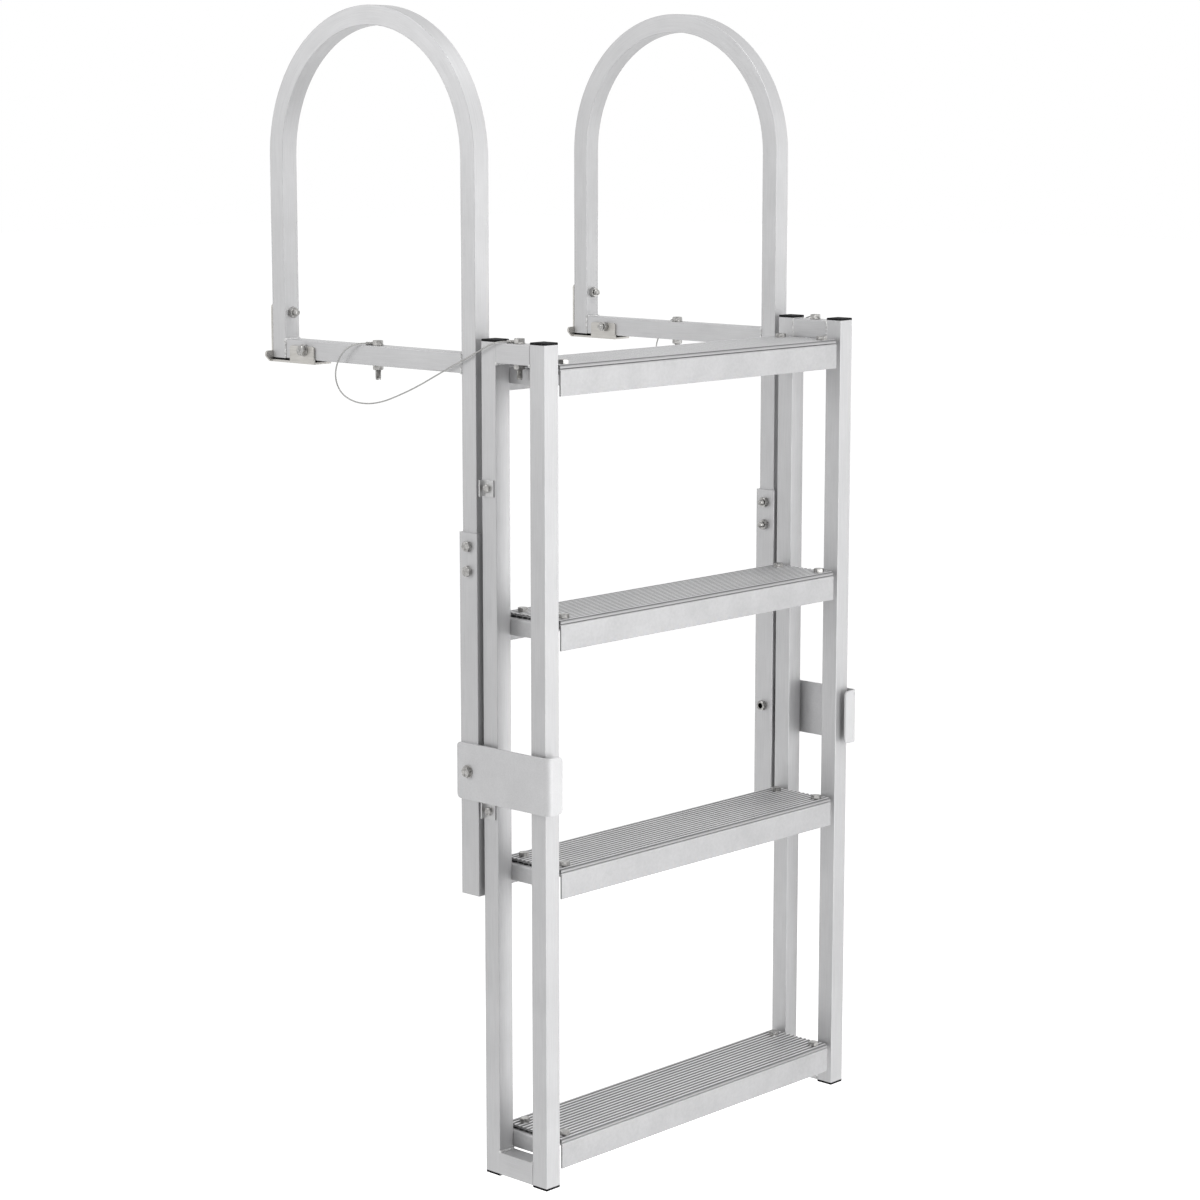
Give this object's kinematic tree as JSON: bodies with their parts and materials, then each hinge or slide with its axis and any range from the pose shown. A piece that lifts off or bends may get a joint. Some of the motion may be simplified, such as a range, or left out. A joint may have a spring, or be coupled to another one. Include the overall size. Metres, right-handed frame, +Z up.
{
  "type": "dock ladder",
  "caption": "Sliding aluminium dock ladder with ribbed treads, held by two arched handrail frames that bolt to the edge of a dock deck.",
  "frame": {"origin": "middle of the underside of the left dock bracket, at deck level", "axes": "+X to the right along the dock edge, +Y inland over the deck, +Z up"},
  "size_m": [0.6377, 0.5268, 1.5105],
  "materials": {
    "tube": "satin",
    "sheet": "satin",
    "stainless": "brushed",
    "cap": "matte",
    "wire": "satin"
  },
  "bodies": {
    "dock_frame": {"hoop_left": "tube", "hoop_right": "tube", "hoop_cap_left": "cap", "hoop_cap_right": "cap", "deck_rail_left": "tube", "deck_rail_right": "tube", "leg_extension_left": "tube", "leg_extension_right": "tube", "guide_strap_left": "sheet", "guide_strap_right": "sheet", "dock_bracket_left": "stainless", "dock_bracket_right": "stainless", "frame_bolts_left": "stainless", "frame_bolts_right": "stainless", "rail_bolt_left": "stainless", "rail_bolt_right": "stainless", "tether_wire_left": "wire", "tether_wire_right": "wire"},
    "ladder": {"front_stile_left": "tube", "front_stile_right": "tube", "rear_stile_left": "tube", "rear_stile_right": "tube", "top_cross_left": "tube", "top_cross_right": "tube", "bottom_cross_left": "tube", "bottom_cross_right": "tube", "stile_caps_left": "cap", "stile_caps_right": "cap", "stop_clips_left": "stainless", "stop_clips_right": "stainless", "clip_screws_left": "stainless", "clip_screws_right": "stainless", "cross_bolt_left": "stainless", "cross_bolt_right": "stainless", "tread_pan_1": "sheet", "tread_pan_2": "sheet", "tread_pan_3": "sheet", "tread_pan_4": "sheet", "tread_cover_1": "sheet", "tread_cover_2": "sheet", "tread_cover_3": "sheet", "tread_cover_4": "sheet", "tread_bolts_1": "stainless", "tread_bolts_2": "stainless", "tread_bolts_3": "stainless", "tread_bolts_4": "stainless"}
  },
  "joints": [
    {"name": "ladder_slide", "type": "slide", "parent": "dock_frame", "child": "ladder", "axis": [0, 0, -1], "range_m": [0, 0.3165]}
  ]
}
